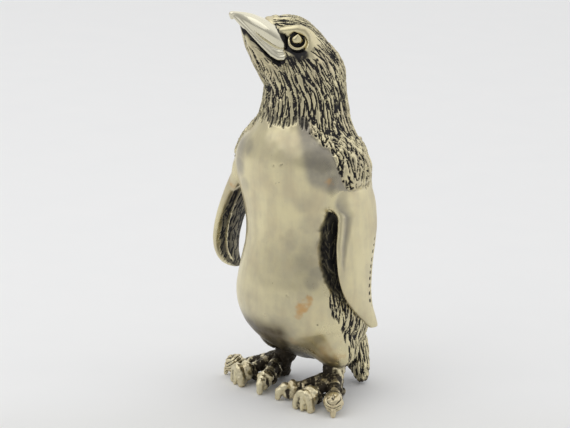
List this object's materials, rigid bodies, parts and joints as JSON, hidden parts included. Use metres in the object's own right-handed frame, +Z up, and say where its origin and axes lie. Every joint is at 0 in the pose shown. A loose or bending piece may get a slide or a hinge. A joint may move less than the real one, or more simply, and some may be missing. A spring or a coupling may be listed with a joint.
{
  "type": "penguin figurine",
  "caption": "Free-standing cast silver penguin, head turned up to its right, with engraved oxidised feathers, polished breast, hanging flippers and knobbly toes.",
  "frame": {"origin": "middle of the bounding box's bottom, on the surface the bird stands on", "axes": "+Z up, -Y is where the breast faces, +X is the bird's left"},
  "size_m": [0.028, 0.0194, 0.0557],
  "materials": {
    "polished_silver": "hand polished, softly stained",
    "oxidised_silver": "engraved, oxidised in the grooves and polished on the ridges",
    "foot_silver": "as cast, yellowish, lightly tumbled",
    "eye_silver": "bright wire in a dark socket"
  },
  "bodies": {
    "root": {"breast_shell": "polished_silver", "left_flipper": "polished_silver", "upper_beak": "polished_silver", "back_shell": "oxidised_silver", "hood": "oxidised_silver", "right_flipper": "oxidised_silver", "tail": "oxidised_silver", "left_leg": "foot_silver", "right_leg": "foot_silver", "left_inner_toe": "foot_silver", "left_middle_toe": "foot_silver", "left_outer_toe": "foot_silver", "right_inner_toe": "foot_silver", "right_middle_toe": "foot_silver", "right_outer_toe": "foot_silver", "left_eye": "eye_silver", "right_eye": "eye_silver", "left_eye_ring": "eye_silver", "right_eye_ring": "eye_silver"}
  },
  "joints": []
}
